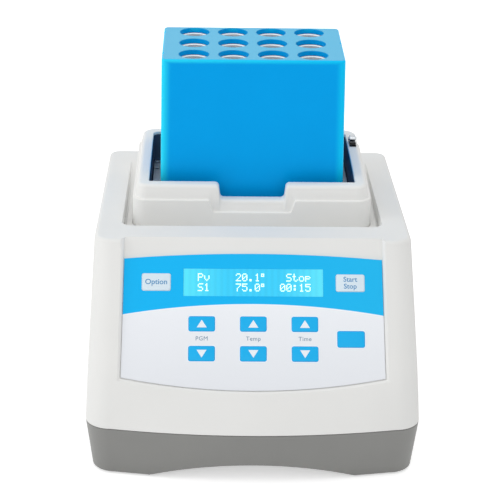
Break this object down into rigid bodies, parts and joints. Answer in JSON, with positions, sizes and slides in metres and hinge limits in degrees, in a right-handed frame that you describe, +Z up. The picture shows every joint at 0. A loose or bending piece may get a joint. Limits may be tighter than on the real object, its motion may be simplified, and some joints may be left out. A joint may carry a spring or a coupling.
{
  "type": "dry block heater",
  "caption": "Bench dry block heater with a sloping control panel, a raised heated well and a tall lift-out tube block in a blue jacket.",
  "frame": {"origin": "on the table, under the middle of the housing", "axes": "+X to the right of the control panel, +Y towards the back, +Z up"},
  "size_m": [0.194, 0.256, 0.214],
  "materials": {
    "off_white": "moulded off-white ABS, fine satin grain",
    "base_grey": "moulded grey ABS, satin grain",
    "rubber_black": "moulded black rubber",
    "zinc_steel": "zinc-plated steel",
    "liner_dark": "dark blue-grey painted sheet",
    "plate_aluminium": "machined aluminium, matt",
    "block_aluminium": "machined aluminium with bright bores",
    "jacket_blue": "moulded blue plastic, satin",
    "heater_mica": "brown mica heater sheet",
    "insulation": "pressed mineral-fibre pad",
    "overlay_print": "printed polyester overlay, blue band over pale grey",
    "key_blue": "embossed polyester key, blue print",
    "key_pale": "embossed polyester key, pale print",
    "lcd_cyan": "backlit blue character display window",
    "module_green": "glass-fibre board with solder resist",
    "black_plastic": "moulded black plastic",
    "dark_iron": "laminated iron core with windings",
    "ribbon_grey": "grey flat cable",
    "pin_brass": "plated brass blade"
  },
  "bodies": {
    "body": {"lower_housing": "base_grey", "upper_housing": "off_white", "foot_front_left": "rubber_black", "foot_front_right": "rubber_black", "foot_rear_left": "rubber_black", "foot_rear_right": "rubber_black", "housing_screw_1": "zinc_steel", "housing_screw_2": "zinc_steel", "housing_screw_3": "zinc_steel", "housing_screw_4": "zinc_steel", "well_collar": "off_white", "well_liner": "liner_dark", "heater_plate": "plate_aluminium", "heating_element": "heater_mica", "insulation_pad": "insulation", "heater_tray": "zinc_steel", "temperature_sensor": "zinc_steel", "thermal_cutout": "black_plastic", "panel_overlay": "overlay_print", "lcd_window": "lcd_cyan", "lcd_module": "module_green", "keypad_board": "module_green", "main_board": "module_green", "heatsink": "plate_aluminium", "heater_triac": "black_plastic", "transformer": "dark_iron", "buzzer": "black_plastic", "keypad_cable": "ribbon_grey", "rear_plate": "plate_aluminium", "rear_screw_1": "zinc_steel", "rear_screw_2": "zinc_steel", "rear_screw_3": "zinc_steel", "rear_screw_4": "zinc_steel", "power_inlet": "black_plastic", "inlet_pin_live": "pin_brass", "inlet_pin_neutral": "pin_brass", "inlet_pin_earth": "pin_brass", "switch_body": "black_plastic", "hinge_bracket": "zinc_steel", "hinge_pin": "zinc_steel"},
    "key_option": {"key_option": "key_pale"},
    "key_start_stop": {"key_start_stop": "key_pale"},
    "key_multi": {"key_multi": "key_blue"},
    "key_program_up": {"key_program_up": "key_blue"},
    "key_program_down": {"key_program_down": "key_blue"},
    "key_temp_up": {"key_temp_up": "key_blue"},
    "key_temp_down": {"key_temp_down": "key_blue"},
    "key_time_up": {"key_time_up": "key_blue"},
    "key_time_down": {"key_time_down": "key_blue"},
    "block": {"tube_block": "block_aluminium", "block_cover": "jacket_blue"},
    "rocker": {"power_rocker": "black_plastic"},
    "fuse": {"fuse_drawer": "black_plastic"}
  },
  "joints": [
    {"name": "key_option_press", "type": "slide", "parent": "body", "child": "key_option", "axis": [0, 0.7732, -0.6342], "range_m": [0, 0.0004], "stiffness_N_per_m": 1200},
    {"name": "key_start_stop_press", "type": "slide", "parent": "body", "child": "key_start_stop", "axis": [0, 0.7732, -0.6342], "range_m": [0, 0.0004], "stiffness_N_per_m": 1200},
    {"name": "key_multi_press", "type": "slide", "parent": "body", "child": "key_multi", "axis": [0, 0.7732, -0.6342], "range_m": [0, 0.0004], "stiffness_N_per_m": 1200},
    {"name": "key_program_up_press", "type": "slide", "parent": "body", "child": "key_program_up", "axis": [0, 0.7732, -0.6342], "range_m": [0, 0.0004], "stiffness_N_per_m": 1200},
    {"name": "key_program_down_press", "type": "slide", "parent": "body", "child": "key_program_down", "axis": [0, 0.7732, -0.6342], "range_m": [0, 0.0004], "stiffness_N_per_m": 1200},
    {"name": "key_temp_up_press", "type": "slide", "parent": "body", "child": "key_temp_up", "axis": [0, 0.7732, -0.6342], "range_m": [0, 0.0004], "stiffness_N_per_m": 1200},
    {"name": "key_temp_down_press", "type": "slide", "parent": "body", "child": "key_temp_down", "axis": [0, 0.7732, -0.6342], "range_m": [0, 0.0004], "stiffness_N_per_m": 1200},
    {"name": "key_time_up_press", "type": "slide", "parent": "body", "child": "key_time_up", "axis": [0, 0.7732, -0.6342], "range_m": [0, 0.0004], "stiffness_N_per_m": 1200},
    {"name": "key_time_down_press", "type": "slide", "parent": "body", "child": "key_time_down", "axis": [0, 0.7732, -0.6342], "range_m": [0, 0.0004], "stiffness_N_per_m": 1200},
    {"name": "block_lift", "type": "slide", "parent": "body", "child": "block", "axis": [0, 0, 1], "range_m": [0, 0.11]},
    {"name": "rocker_tilt", "type": "hinge", "parent": "body", "child": "rocker", "pos_m": [-0.002, 0.1248, 0.068], "axis": [1, 0, 0], "range_deg": [0, 14]},
    {"name": "fuse_pull", "type": "slide", "parent": "body", "child": "fuse", "axis": [0, 1, 0], "range_m": [0, 0.022]}
  ]
}
